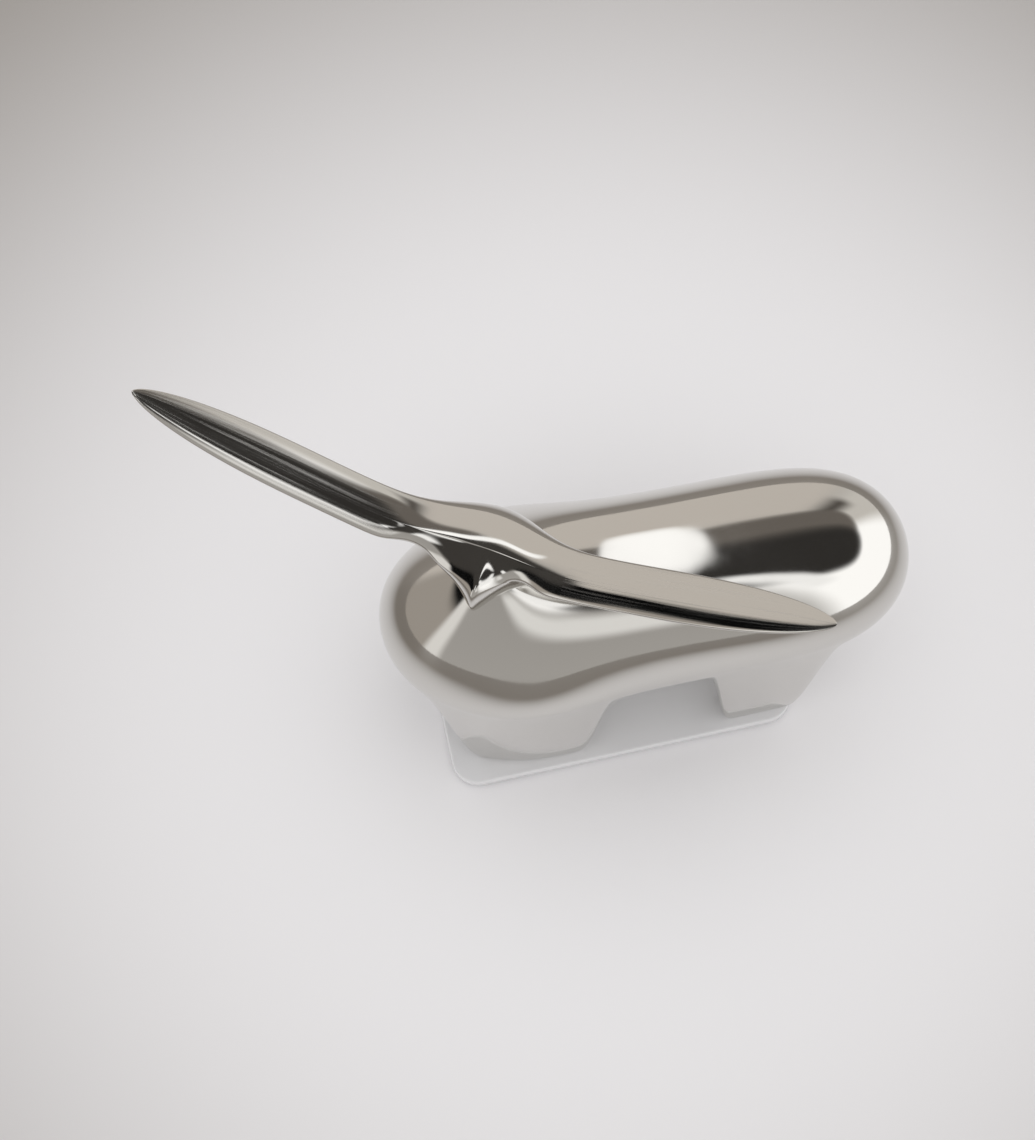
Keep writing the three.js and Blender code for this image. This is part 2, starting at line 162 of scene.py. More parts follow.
class BullLegs(bpy.types.PropertyGroup):
    """Sizes of the legs, with angles measured down from the torso's widest line."""

    sole_height: length("Sole height", "Height of the soles on the plate", 4)
    front_place: length("Front place", "Where the front soles begin", 19.5)
    front_length: length("Front length", "Length of a front sole", 24)
    front_lead: length("Front lead", "Run of the front leg's leading edge", 14)
    front_trail: length("Front trail", "Run of the front leg's trailing edge", 12)
    rear_place: length("Rear place", "Where the rear soles begin", 86.5)
    rear_length: length("Rear length", "Length of a rear sole", 15)
    rear_lead: length("Rear lead", "Run of the rear leg's leading edge", 9)
    rear_trail: length("Rear trail", "Run of the rear leg's trailing edge", 12)
    outer_angle: angle("Outer angle", "Where the leg's outer side is down", 24)
    outer_blend: angle("Outer blend", "Over which the outer side comes down", 22)
    inner_angle: angle("Inner angle", "Where the leg's inner side begins", 50)
    inner_blend: angle("Inner blend", "Over which the inner side goes back up", 18)
    shoulder_flare: length("Shoulder flare", "How far the shoulders stand out", 3.2)
    shoulder_spread: length("Shoulder spread", "Spread of the shoulders along the body", 22)
    shoulder_breadth: angle("Shoulder breadth", "Spread of the shoulders round the body", 25)


class BullHead(bpy.types.PropertyGroup):
    """Sizes of the neck and the head; the poll is the point between the horns."""

    neck_rise: length("Neck rise", "Height of the neck's mound", 6)
    neck_spread: length("Neck spread", "Spread of the neck's mound", 14)
    poll_over_neck: length("Poll over neck", "Height of the poll over the mound", 4.1)
    turn: angle("Turn", "How far the horns are turned from the body's length", 32.5)
    half_width: length("Half width", "From the poll to the horn's joint", 21)
    thickening: length("Thickening", "How much thicker the head is than the horns", 2.2)
    pitch: angle("Pitch", "How far the face is rolled up", 18)
    pitch_spread: length("Pitch spread", "Spread of that roll across the head", 16)
    snout_length: length("Snout length", "How far the snout stands out", 8.9)
    snout_drop: angle("Snout drop", "How far the snout points down", 44)
    snout_breadth: angle("Snout breadth", "Spread of the snout round the head", 60)
    snout_spread: length("Snout spread", "Run over which the snout falls away to the sides", 6)
    snout_tip: length("Snout tip", "Rounding of the snout's ridge", 0.9)
    snout_side: length("Snout side", "How far the snout sits to one side", 1.5)
    cheek_depth: length("Cheek depth", "How deep the cheeks are hollowed", 3.2)
    cheek_drop: angle("Cheek drop", "How far down the cheeks lie round the head", 15)
    cheek_breadth: angle("Cheek breadth", "Spread of the hollows round the head", 40)
    cheek_spread: length("Cheek spread", "Spread of the hollows across the head", 5)
    cheek_reach: length("Cheek reach", "From the middle between the hollows to each of them", 13)
    cheek_side: length("Cheek side", "How far that middle lies to one side", -3)
    nape_length: length("Nape length", "How far the nape stands out", 9.5)
    nape_angle: angle("Nape angle", "Where the nape lies round the head", 166)
    nape_breadth: angle("Nape breadth", "Spread of the nape round the head", 62)
    nape_spread: length("Nape spread", "Spread of the nape across the head", 14)


class BullHorns(bpy.types.PropertyGroup):
    """Sizes of the horns: flat blades, shallow above and deeper below."""

    reach: length("Reach", "From the poll to a tip, measured level", 83.3)
    rise: angle("Rise", "How steeply the horns go up", 27)
    forward: angle("Forward", "How far the horns lean forward", 1.2)
    bend: length("Bend", "How softly the two horns meet at the poll", 20)
    half_width: length("Half width", "Half the blade's width without its rounding", 4.45)
    top: length("Top", "Height of the ridge over the blade's edges", 1.3)
    under: length("Under", "Depth of the blade under its edges", 3)
    edge: length("Edge", "Rounding of the blade's edges", 1.8)
    ridge: length("Ridge", "Rounding of the ridge along the blade", 0.45)
    root_share: number("Root share", "Width at the root as a share of the full width", 0.93)
    root_blend_from: number("Root blend from", "Share of the reach where the head's section ends", 0.03)
    root_blend_to: number("Root blend to", "Share of the reach where the horn's section begins", 0.38)
    taper_power: number("Taper power", "Higher keeps the outer half of a horn broad for longer", 2.5)
    tip_power: number("Tip power", "Lower is a blunter tip", 0.6)
    diamond_power: number("Diamond power", "1 is a flat-sided diamond, 2 an oval", 1.08)
    ridge_shift: length("Ridge shift", "How far the ridge lies ahead of the blade's middle", 1.6)


class BullBase(bpy.types.PropertyGroup):
    """Sizes of the base plate, the felt and the belly plug."""

    corner: length("Corner", "Radius of the plate's corners", 7)
    edge: length("Edge", "Rounding of the plate's edges", 0.6)
    felt_edge: length("Felt edge", "Rounding of the felt's edge", 0.35)
    plug_edge: length("Plug edge", "Rounding of the plug's rim", 0.8)


class BullFinish(bpy.types.PropertyGroup):
    """Colours of the metal, the felt and the stage."""

    aluminium: colour("Aluminium", "Mirror polished casting", "#D2D0CC")
    plate: colour("Plate", "Pale lacquer", "#DCDBDC")
    steel: colour("Steel", "Zinc plated fixings", "#B4B6B8")
    felt: colour("Felt", "Pressed felt", "#2B2B2D")
    floor: colour("Floor", "Pale studio floor round the ornament", "#EEECED")
    # Painted shade: the floor's colour far from the ornament, painted darker as if out of the light
    floor_painted_shade: colour("Floor Edge", "The same floor out of the light", "#8C857E")


class BullStage(bpy.types.PropertyGroup):
    """Where the camera stands and how it is turned."""

    look: FloatVectorProperty(
        name="Look",
        description="Point at the middle of the picture",
        default=(-0.0195, 0.01636, 0.040),
        subtype="XYZ",
        unit="LENGTH",
        precision=5,
    )
    distance: length("Distance", "From the camera to that point", 543.9)
    pitch: angle("Pitch", "How far the camera looks down", 69.1)
    heading: angle("Heading", "How far the camera is turned to its right", 7.3)
    roll: angle("Roll", "How far the picture is turned", 5.2)
    lens: number("Lens", "Focal length in millimetres on a 36 mm wide sensor", 73.04)


class BullSettings(bpy.types.PropertyGroup):
    """All the settings of the ornament."""

    torso: PointerProperty(type=BullTorso)
    legs: PointerProperty(type=BullLegs)
    head: PointerProperty(type=BullHead)
    horns: PointerProperty(type=BullHorns)
    base: PointerProperty(type=BullBase)
    finish: PointerProperty(type=BullFinish)
    stage: PointerProperty(type=BullStage)


# Shapes

def ease(start, end, x):
    """A step from 0 to 1 between start and end, level at both ends: 6t^5 - 15t^4 + 10t^3."""
    t = np.clip((x - start) / (end - start), 0, 1)
    return t**3 * (t * (6 * t - 15) + 10)


def bell(x, spread):
    """A bell curve: e to the power of minus (x over spread) squared."""
    return np.exp(-((x / spread) ** 2))


def axis_side(torso, x):
    """Sideways swing of the torso's centre line: the bend times the square of the way to the chest."""
    ahead = np.maximum((torso.rump_place - x) / torso.rump_place, 0)
    return torso.bend * ahead**2


def oval(torso, x):
    """Half width and half height of the torso at x: the waist's, plus a bell at chest and at rump,
    closed at both ends by the root of one minus a power of the share of the half length, which is
    given as well."""
    share = np.abs(2 * x - torso.body_length) / torso.body_length
    end = np.sqrt(np.maximum(1 - share**torso.end_fullness, 0))
    chest = bell(x - torso.chest_place, torso.swell_spread)
    rump = bell(x - torso.rump_place, torso.swell_spread)

    def mix(waist, front, rear):
        return end * (waist + (front - waist) * chest + (rear - waist) * rump)

    return (
        mix(torso.waist_half_width, torso.chest_half_width, torso.rump_half_width),
        mix(torso.waist_half_height, torso.chest_half_height, torso.rump_half_height),
        end,
    )


def local_to_frame(settings):
    """From the chest's foremost point and the torso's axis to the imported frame's origin."""
    torso, legs = settings.torso, settings.legs
    left, right = middle("base_screw_rear_left"), middle("base_screw_rear_right")
    at_rear = axis_side(torso, legs.rear_place + legs.rear_length / 2)
    return np.array([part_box("body_casting")[0][0], (left[1] + right[1]) / 2 - at_rear, 0.0])


def body_surface(settings, rings, around):
    """The body: an oval carried along the bent axis, whose underside is drawn down to the soles where
    a step along the body times a step round it stands for a leg, whose sides are drawn out over the
    front legs by a bell along times a bell round for the shoulders, and whose top is drawn up by a
    bell round the poll for the neck."""
    torso, legs, head = settings.torso, settings.legs, settings.head
    u = np.linspace(0, 1, rings + 2)[1:-1, None]
    turn = np.linspace(0, 2 * np.pi, around, endpoint=False)[None, :]
    share = EVEN_SHARE * (2 * u - 1) - (1 - EVEN_SHARE) * np.cos(np.pi * u)
    x = torso.body_length / 2 * (1 + share) + 0 * turn
    width, height, end = oval(torso, x)
    y = axis_side(torso, x) + width * np.cos(turn)
    z = torso.axis_height + height * np.sin(turn)

    def stand(place, run, lead, trail):
        return ease(place - lead, place, x) * (1 - ease(place + run, place + run + trail, x))

    along = stand(legs.front_place, legs.front_length, legs.front_lead, legs.front_trail)
    along = along + stand(legs.rear_place, legs.rear_length, legs.rear_lead, legs.rear_trail)
    below = np.arcsin(np.clip(-np.sin(turn), -1, 1))
    across = ease(legs.outer_angle - legs.outer_blend, legs.outer_angle, below)
    across = across * (1 - ease(legs.inner_angle, legs.inner_angle + legs.inner_blend, below))
    z = z + (legs.sole_height - z) * along * across
    shoulder = bell(x - legs.front_place - legs.front_length / 2, legs.shoulder_spread)
    flare = legs.shoulder_flare * shoulder * bell(below, legs.shoulder_breadth)
    y = y + flare * end * np.sign(np.cos(turn))
    shift = local_to_frame(settings)
    poll = np.array(middle("neck_stud")) - shift
    mound = bell(np.hypot(x - poll[0], y - poll[1]), head.neck_spread)
    z = z + head.neck_rise * mound * ease(0, NECK_FULL_FROM, np.sin(turn))
    tips = np.array([0.0, torso.body_length])
    ends = np.stack([tips, axis_side(torso, tips), np.full(2, torso.axis_height)], -1)
    return np.stack([x, y, z], -1) + shift, ends + shift


def head_surface(settings, across, around):
    """The head and horns: a rounded diamond carried along a line that rises as a hyperbola from the
    poll. The nape is drawn out of it by bells across and round the head, and the snout by a bell round
    it times e to the power of minus the way from its ridge, so that it is a sharp wedge. Bells on both
    sides of it hollow the cheeks, the upper ridge is shifted ahead, and a bell rolls the face up."""
    torso, head, horns = settings.torso, settings.head, settings.horns
    across = np.asarray(across)[:, None]
    turn = np.linspace(0, 2 * np.pi, around, endpoint=False)[None, :]
    share = np.abs(across) / horns.reach
    past = np.maximum(2 * share - 1, 0)
    taper = np.maximum(1 - past**horns.taper_power, 0) ** horns.tip_power
    out = ease(horns.root_blend_from, horns.root_blend_to, share)
    width = horns.half_width * taper * (horns.root_share + (1 - horns.root_share) * out)
    depth = np.where(np.sin(turn) > 0, horns.top, horns.under)
    height = taper * (depth + head.thickening * (1 - out))

    def lobe(centre, breadth):
        away = np.angle(np.exp(1j * (turn - centre)))
        return bell(away, breadth)

    beside = np.hypot(across - head.snout_side, head.snout_tip) - head.snout_tip
    snout = np.exp(-beside / head.snout_spread) * lobe(-head.snout_drop, head.snout_breadth)
    nape = bell(across, head.nape_spread) * lobe(-head.nape_angle, head.nape_breadth)
    hollow = bell(np.abs(across - head.cheek_side) - head.cheek_reach, head.cheek_spread)
    cheeks = hollow * lobe(-head.cheek_drop, head.cheek_breadth)
    cos, sin = np.cos(turn), np.sin(turn)
    rounding = taper * (horns.edge * cos**2 + horns.ridge * sin**2) - head.cheek_depth * cheeks
    rounding = rounding + head.snout_length * snout + head.nape_length * nape
    power = 2 / horns.diamond_power
    ridge = horns.ridge_shift * taper * np.maximum(sin, 0) ** power
    level = width * np.sign(cos) * np.abs(cos) ** power + rounding * cos + ridge
    upright = height * np.sign(sin) * np.abs(sin) ** power + rounding * sin
    roll = head.pitch * bell(across, head.pitch_spread)
    along = np.hypot(across, horns.bend) - horns.bend
    ahead = level * np.cos(roll) - upright * np.sin(roll) + along * math.tan(horns.forward)
    up = level * np.sin(roll) + upright * np.cos(roll) + along * math.tan(horns.rise)
    shift = local_to_frame(settings)
    poll = np.array(middle("neck_stud"))
    neck = oval(torso, np.float64(poll[0] - shift[0]))[1] + head.neck_rise
    poll[2] = torso.axis_height + neck + head.poll_over_neck
    to_side, to_front = math.cos(head.turn), math.sin(head.turn)
    x = poll[0] + across * to_side - ahead * to_front
    y = poll[1] - across * to_front - ahead * to_side
    z = poll[2] + up + 0 * across
    return np.stack([x, y, z], -1)


def grid_normals(grid, places):
    """Normals of a grid that closes round its second axis: the cross product of its slope with the
    places along and its slope around."""
    along = np.gradient(grid, places, axis=0)
    around = np.roll(grid, -1, 1) - np.roll(grid, 1, 1)
    normals = np.cross(along, around)
    size = np.linalg.norm(normals, axis=-1, keepdims=True)
    return normals / np.maximum(size, 1e-12)


def turn_corners(values, in_quads):
    """Values of face corners, with the corners of each face in the opposite order. The first in_quads
    of them belong to quads and the others to triangles."""
    quads = values[:in_quads].reshape(-1, 4)[:, ::-1]
    triangles = values[in_quads:].reshape(-1, 3)[:, ::-1]
    return np.concatenate([quads.ravel(), triangles.ravel()])


def tube_mesh(name, grid, ends, uv, outward):
    """A closed mesh over a grid of rings, with a fan to a point at each end. uv holds the lengths in
    metres that the map covers along and around; outward is 1 or -1 for the way the grid turns."""
    rings, sides = grid.shape[:2]
    points = np.concatenate([grid.reshape(-1, 3), np.asarray(ends)])
    ring, side = np.meshgrid(np.arange(rings - 1), np.arange(sides), indexing="ij")
    beside = (side + 1) % sides
    here, ahead = ring * sides, (ring + 1) * sides
    quads = np.stack([here + side, ahead + side, ahead + beside, here + beside], -1).reshape(-1, 4)
    rim = np.arange(sides)
    next_rim = (rim + 1) % sides
    last_ring = (rings - 1) * sides
    first = np.stack([np.full(sides, rings * sides), rim, next_rim], -1)
    last = np.stack([np.full(sides, rings * sides + 1), last_ring + next_rim, last_ring + rim], -1)
    quads_along = np.stack([ring, ring + 1, ring + 1, ring], -1).reshape(-1) / (rings - 1)
    quads_around = np.stack([side, side, side + 1, side + 1], -1).reshape(-1) / sides
    first_around = np.stack([rim + 0.5, rim, rim + 1], -1).reshape(-1) / sides
    last_around = np.stack([rim + 0.5, rim + 1, rim], -1).reshape(-1) / sides
    along = np.concatenate([quads_along, np.zeros(3 * sides), np.ones(3 * sides)]) * uv[0]
    around = np.concatenate([quads_around, first_around, last_around]) * uv[1]
    if outward < 0:
        quads, first, last = quads[:, ::-1], first[:, ::-1], last[:, ::-1]
        along = turn_corners(along, quads_along.size)
        around = turn_corners(around, quads_along.size)
    mesh = bpy.data.meshes.new(name)
    mesh.from_pydata(points.tolist(), [], quads.tolist() + first.tolist() + last.tolist())
    layer = mesh.uv_layers.new(name="polish")
    layer.data.foreach_set("uv", np.stack([along, around], -1).ravel())
    mesh.polygons.foreach_set("use_smooth", np.ones(len(mesh.polygons), bool))
    return mesh


def add_piece(name, mesh, material, nodes):
    """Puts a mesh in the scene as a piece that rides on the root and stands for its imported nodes."""
    mesh.materials.append(material)
    piece = bpy.data.objects.new(name, mesh)
    bpy.context.collection.objects.link(piece)
    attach(piece, "root")
    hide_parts(*nodes)
    return piece


def rounded_outline(low, high, radius, steps):
    """A rectangle with round corners as points and outward normals, a quarter circle at each corner."""
    quarter = np.linspace(0, np.pi / 2, steps)
    turn = (quarter[None, :] + np.arange(4)[:, None] * np.pi / 2).ravel()
    side = np.array([[1, 1], [-1, 1], [-1, -1], [1, -1]]).repeat(steps, 0)
    centre = (np.array(low[:2]) + np.array(high[:2])) / 2
    half = (np.array(high[:2]) - np.array(low[:2])) / 2 - radius
    normals = np.stack([np.cos(turn), np.sin(turn)], -1)
    return centre + side * half + radius * normals, normals


def slab_surface(low, high, radius, edge):
    """A rounded rectangle between two heights, whose edges are quarter circles of the edge's radius:
    the outline moves in by edge times (1 - cos) while the height moves by edge times sin."""
    outline, normals = rounded_outline(low, high, radius, CORNER_STEPS)
    turn = np.linspace(-np.pi / 2, np.pi / 2, EDGE_STEPS)
    inset = edge * (1 - np.cos(turn))
    height = np.where(turn < 0, low[2] + edge, high[2] - edge) + edge * np.sin(turn)
    inset = np.concatenate([[CAP_INSET * radius], inset, [CAP_INSET * radius]])
    height = np.concatenate([[low[2]], height, [high[2]]])
    xy = outline[None] - normals[None] * inset[:, None, None]
    grid = np.concatenate([xy, np.broadcast_to(height[:, None, None], (*xy.shape[:2], 1))], -1)
    centre = (np.array(low) + np.array(high)) / 2
    ends = [[centre[0], centre[1], low[2]], [centre[0], centre[1], high[2]]]
    return grid, ends


def plug_surface(low, high, edge):
    """A profile of radii and heights turned about an upright line: a dimple in the middle of the
    underside, a flat face, then a quarter circle of the edge's radius up to the straight side."""
    centre = (np.array(low) + np.array(high)) / 2
    radius = (high[0] - low[0]) / 2
    rim = np.linspace(-np.pi / 2, 0, PLUG_RIM_STEPS)
    dimple = [share * radius for share in PLUG_DIMPLE]
    radii = np.concatenate([dimple, radius - edge + edge * np.cos(rim), [radius]])
    floor = low[2] + PLUG_DIMPLE_DEPTH * edge
    heights = np.array([floor, low[2], *(low[2] + edge + edge * np.sin(rim)), high[2]])
    turn = np.linspace(0, 2 * np.pi, PLUG_SIDES, endpoint=False)
    ring = np.stack([np.cos(turn), np.sin(turn)], -1)
    xy = centre[:2] + radii[:, None, None] * ring[None]
    z = np.broadcast_to(heights[:, None, None], (*xy.shape[:2], 1))
    ends = [[centre[0], centre[1], floor], [centre[0], centre[1], high[2]]]
    return np.concatenate([xy, z], -1), ends


# Materials

def add(tree, kind, links=None, **settings):
    """Adds a node, sets its values and joins its inputs to the sockets given."""
    node = tree.nodes.new(kind)
    for key, value in settings.items():
        setattr(node, key, value)
    for key, value in (links or {}).items():
        if isinstance(value, bpy.types.NodeSocket):
            tree.links.new(value, node.inputs[key])
        else:
            node.inputs[key].default_value = value
    return node


def new_material(name):
    """A fresh node material with its shader and output."""
    material = bpy.data.materials.new(name)
    material.use_nodes = True
    tree = material.node_tree
    tree.nodes.clear()
    shader = add(tree, "ShaderNodeBsdfPrincipled")
    add(tree, "ShaderNodeOutputMaterial", {"Surface": shader.outputs["BSDF"]})
    return material, tree, shader


def per_mm(size):
    """Texture scale for a pattern whose repeats are this many millimetres apart."""
    return 1 / (size * MM)


def mirror_polished_aluminium(settings):
    """Cast aluminium, ground and buffed to a mirror: sharp reflections that waver a little where the
    hand-finished skin is not quite true, with hazier patches."""
    material, tree, shader = new_material("mirror_polished_aluminium")
    place = add(tree, "ShaderNodeTexCoord").outputs["Object"]
    # Buffing leaves slow waves about 11 mm apart
    waves = add(tree, "ShaderNodeTexNoise", {"Vector": place, "Scale": per_mm(11), "Detail": 1.0})
    # Hazier patches about 16 mm across
    haze = add(tree, "ShaderNodeTexNoise", {"Vector": place, "Scale": per_mm(16), "Detail": 3.0})
    rough = add(
        tree,
        "ShaderNodeMapRange",
        {
            "Value": haze.outputs["Fac"],
            "From Min": 0.35,
            "From Max": 0.7,
            "To Min": 0.05,
            "To Max": 0.11,
        },
    )
    bump = add(
        tree,
        "ShaderNodeBump",
        {"Height": waves.outputs["Fac"], "Strength": 0.6, "Distance": 0.05 * MM},
    )
    tree.links.new(rough.outputs["Result"], shader.inputs["Roughness"])
    tree.links.new(bump.outputs["Normal"], shader.inputs["Normal"])
    shader.inputs["Metallic"].default_value = 1.0
    shader.inputs["Base Color"].default_value = (*settings.finish.aluminium, 1)
    return material


def streaked_horn_aluminium(settings):
    """The same aluminium on the horns, finished along their length: fine drawn streaks that blur the
    reflections across the blade."""
    material, tree, shader = new_material("streaked_horn_aluminium")
    place = add(tree, "ShaderNodeTexCoord").outputs["UV"]
    # Streaks about 0.9 mm apart and 40 mm long, drawn coarser than grit so that they show
    stretch = add(
        tree,
        "ShaderNodeMapping",
        {"Vector": place, "Scale": (per_mm(40), per_mm(0.9), 1.0)},
    )
    streaks = add(
        tree, "ShaderNodeTexNoise", {"Vector": stretch.outputs["Vector"], "Scale": 1.0, "Detail": 3.0}
    )
    rough = add(
        tree,
        "ShaderNodeMapRange",
        {
            "Value": streaks.outputs["Fac"],
            "From Min": 0.42,
            "From Max": 0.72,
            "To Min": 0.04,
            "To Max": 0.36,
        },
    )
    bump = add(
        tree,
        "ShaderNodeBump",
        {"Height": streaks.outputs["Fac"], "Strength": 0.4, "Distance": 0.03 * MM},
    )
    tree.links.new(rough.outputs["Result"], shader.inputs["Roughness"])
    tree.links.new(bump.outputs["Normal"], shader.inputs["Normal"])
    shader.inputs["Metallic"].default_value = 1.0
    shader.inputs["Base Color"].default_value = (*settings.finish.aluminium, 1)
    return material


def lacquered_sheet(settings):
    """Metal sheet under a pale gloss lacquer: nearly white, with soft faint reflections of the legs
    that waver on the lacquer's orange peel."""
    material, tree, shader = new_material("pale_lacquered_sheet")
    place = add(tree, "ShaderNodeTexCoord").outputs["Object"]
    # Orange peel about 2.5 mm across
    peel = add(tree, "ShaderNodeTexNoise", {"Vector": place, "Scale": per_mm(2.5), "Detail": 2.0})
    bump = add(
        tree,
        "ShaderNodeBump",
        {"Height": peel.outputs["Fac"], "Strength": 0.4, "Distance": 0.02 * MM},
    )
    tree.links.new(bump.outputs["Normal"], shader.inputs["Normal"])
    shader.inputs["Base Color"].default_value = (*settings.finish.plate, 1)
    shader.inputs["Roughness"].default_value = 0.14
    return material


def zinc_plated_steel(settings):
    """Zinc plated steel of screws, studs and nuts: pale grey metal with a spangled, satin skin."""
    material, tree, shader = new_material("zinc_plated_steel")
    place = add(tree, "ShaderNodeTexCoord").outputs["Object"]
    # Spangle about 0.6 mm across
    spangle = add(tree, "ShaderNodeTexVoronoi", {"Vector": place, "Scale": per_mm(0.6)})
    rough = add(
        tree,
        "ShaderNodeMapRange",
        {"Value": spangle.outputs["Distance"], "To Min": 0.28, "To Max": 0.42},
    )
    tree.links.new(rough.outputs["Result"], shader.inputs["Roughness"])
    shader.inputs["Metallic"].default_value = 1.0
    shader.inputs["Base Color"].default_value = (*settings.finish.steel, 1)
    return material


def pressed_felt(settings):
    """Pressed wool felt: dull and dark, with tangled fibres whose roots are painted darker and tips
    painted lighter, as painted shade and light.
    """
    material, tree, shader = new_material("pressed_wool_felt")
    place = add(tree, "ShaderNodeTexCoord").outputs["Object"]
    # Fibres about 0.35 mm across
    fibres = add(tree, "ShaderNodeTexNoise", {"Vector": place, "Scale": per_mm(0.35), "Detail": 4.0})
    # Painted shade on the fibres' roots and painted light on their tips, as shares of the felt's colour
    roots, tips = 0.6, 1.6
    tone = add(tree, "ShaderNodeMix", {"Factor": fibres.outputs["Fac"]}, data_type="RGBA")
    tone.inputs["A"].default_value = (*[roots * c for c in settings.finish.felt], 1)
    tone.inputs["B"].default_value = (*[tips * c for c in settings.finish.felt], 1)
    bump = add(
        tree,
        "ShaderNodeBump",
        {"Height": fibres.outputs["Fac"], "Strength": 0.7, "Distance": 0.1 * MM},
    )
    tree.links.new(tone.outputs["Result"], shader.inputs["Base Color"])
    tree.links.new(bump.outputs["Normal"], shader.inputs["Normal"])
    shader.inputs["Roughness"].default_value = 0.95
    shader.inputs["Sheen Weight"].default_value = 0.3
    return material


def material_for(maker, settings):
    """The material of that maker's name, made the first time it is asked for."""
    made = bpy.data.materials.get(MATERIAL_NAMES[maker])
    return made or maker(settings)


MATERIAL_NAMES = {
    mirror_polished_aluminium: "mirror_polished_aluminium",
    streaked_horn_aluminium: "streaked_horn_aluminium",
    lacquered_sheet: "pale_lacquered_sheet",
    zinc_plated_steel: "zinc_plated_steel",
    pressed_felt: "pressed_wool_felt",
}


# Operators

class BULL_OT_body(bpy.types.Operator):
    """Build the body casting with its legs and neck"""

    bl_idname = "bull.body"
    bl_label = "Body"

    def execute(self, context):
        settings = context.scene.bull
        grid, ends = body_surface(settings, BODY_RINGS, BODY_SIDES)
        mesh = tube_mesh("body", grid, ends, (settings.torso.body_length, BODY_GIRTH), -1)
        metal = material_for(mirror_polished_aluminium, settings)
        add_piece("body", mesh, metal, ["body_casting"])
        return {"FINISHED"}


class BULL_OT_head(bpy.types.Operator):
    """Build the head casting and both horns"""

    bl_idname = "bull.head"
    bl_label = "Head and Horns"

    def execute(self, context):
        settings = context.scene.bull
        reach, joint = settings.horns.reach, settings.head.half_width
        out = joint + (reach - joint) * np.sin(np.linspace(0, np.pi / 2, HORN_RINGS))[:-1]
        spans = {
            "right_horn_blade": (slice(0, out.size), streaked_horn_aluminium, "right_horn"),
            "head": (slice(out.size - 1, 1 - out.size), mirror_polished_aluminium, "head_casting"),
            "left_horn_blade": (slice(-out.size, None), streaked_horn_aluminium, "left_horn"),
        }
        within = np.linspace(-joint, joint, HEAD_RINGS)
        across = np.concatenate([-out[:0:-1], within, out[1:]])
        sweep = head_surface(settings, across, HEAD_SIDES)
        normals = grid_normals(sweep, across)
        for name, (span, maker, node) in spans.items():
            grid = sweep[span]
            ends = [grid[0].mean(0), grid[-1].mean(0)]
            mesh = tube_mesh(name, grid, ends, (float(np.ptp(across[span])), HORN_GIRTH), 1)
            axis = (ends[1] - ends[0]) / np.linalg.norm(ends[1] - ends[0])
            smooth = np.concatenate([normals[span].reshape(-1, 3), [-axis, axis]])
            mesh.normals_split_custom_set_from_vertices(smooth.tolist())
            add_piece(name, mesh, material_for(maker, settings), [node])
        return {"FINISHED"}


class BULL_OT_base(bpy.types.Operator):
    """Build the base plate, the felt under it and the plug in the belly"""

    bl_idname = "bull.base"
    bl_label = "Base and Plug"

    def execute(self, context):
        settings = context.scene.bull
        base = settings.base
        low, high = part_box("base_plate")
        grid, ends = slab_surface(low, high, base.corner, base.edge)
        mesh = tube_mesh("base_plate_sheet", grid, ends, SLAB_MAP, -1)
        sheet = material_for(lacquered_sheet, settings)
        add_piece("base_plate_sheet", mesh, sheet, ["base_plate"])
        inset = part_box("base_felt")[0][0] - low[0]
        low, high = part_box("base_felt")
        grid, ends = slab_surface(low, high, base.corner - inset, base.felt_edge)
        mesh = tube_mesh("base_felt_pad", grid, ends, SLAB_MAP, -1)
        felt = material_for(pressed_felt, settings)
        pad = add_piece("base_felt_pad", mesh, felt, ["base_felt"])
        low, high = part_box("belly_plug")
        grid, ends = plug_surface(low, high, base.plug_edge)
        mesh = tube_mesh("core_plug", grid, ends, PLUG_MAP, -1)
        metal = material_for(mirror_polished_aluminium, settings)
        add_piece("core_plug", mesh, metal, ["belly_plug"])
        return {"FINISHED"}


class BULL_OT_fixings(bpy.types.Operator):
    """Give the studs, nut, washer and screws their zinc plating"""

    bl_idname = "bull.fixings"
    bl_label = "Fixings"

    def execute(self, context):
        steel = material_for(zinc_plated_steel, context.scene.bull)
        for part in frame["record"]["subparts"]:
            if part["material_slot"] == "steel_fixing":
                node = frame["nodes"][part["node"]]
                node.data.materials.clear()
                node.data.materials.append(steel)
        return {"FINISHED"}


class BULL_OT_stage(bpy.types.Operator):
    """Lay the floor, light the studio and set up the camera"""

    bl_idname = "bull.stage"
    bl_label = "Stage"

    def execute(self, context):
        settings = context.scene.bull
        lay_floor(settings)
        light_studio(context.scene)
        set_camera(context.scene, settings.stage)
        context.scene.view_settings.view_transform = "Standard"
        return {"FINISHED"}


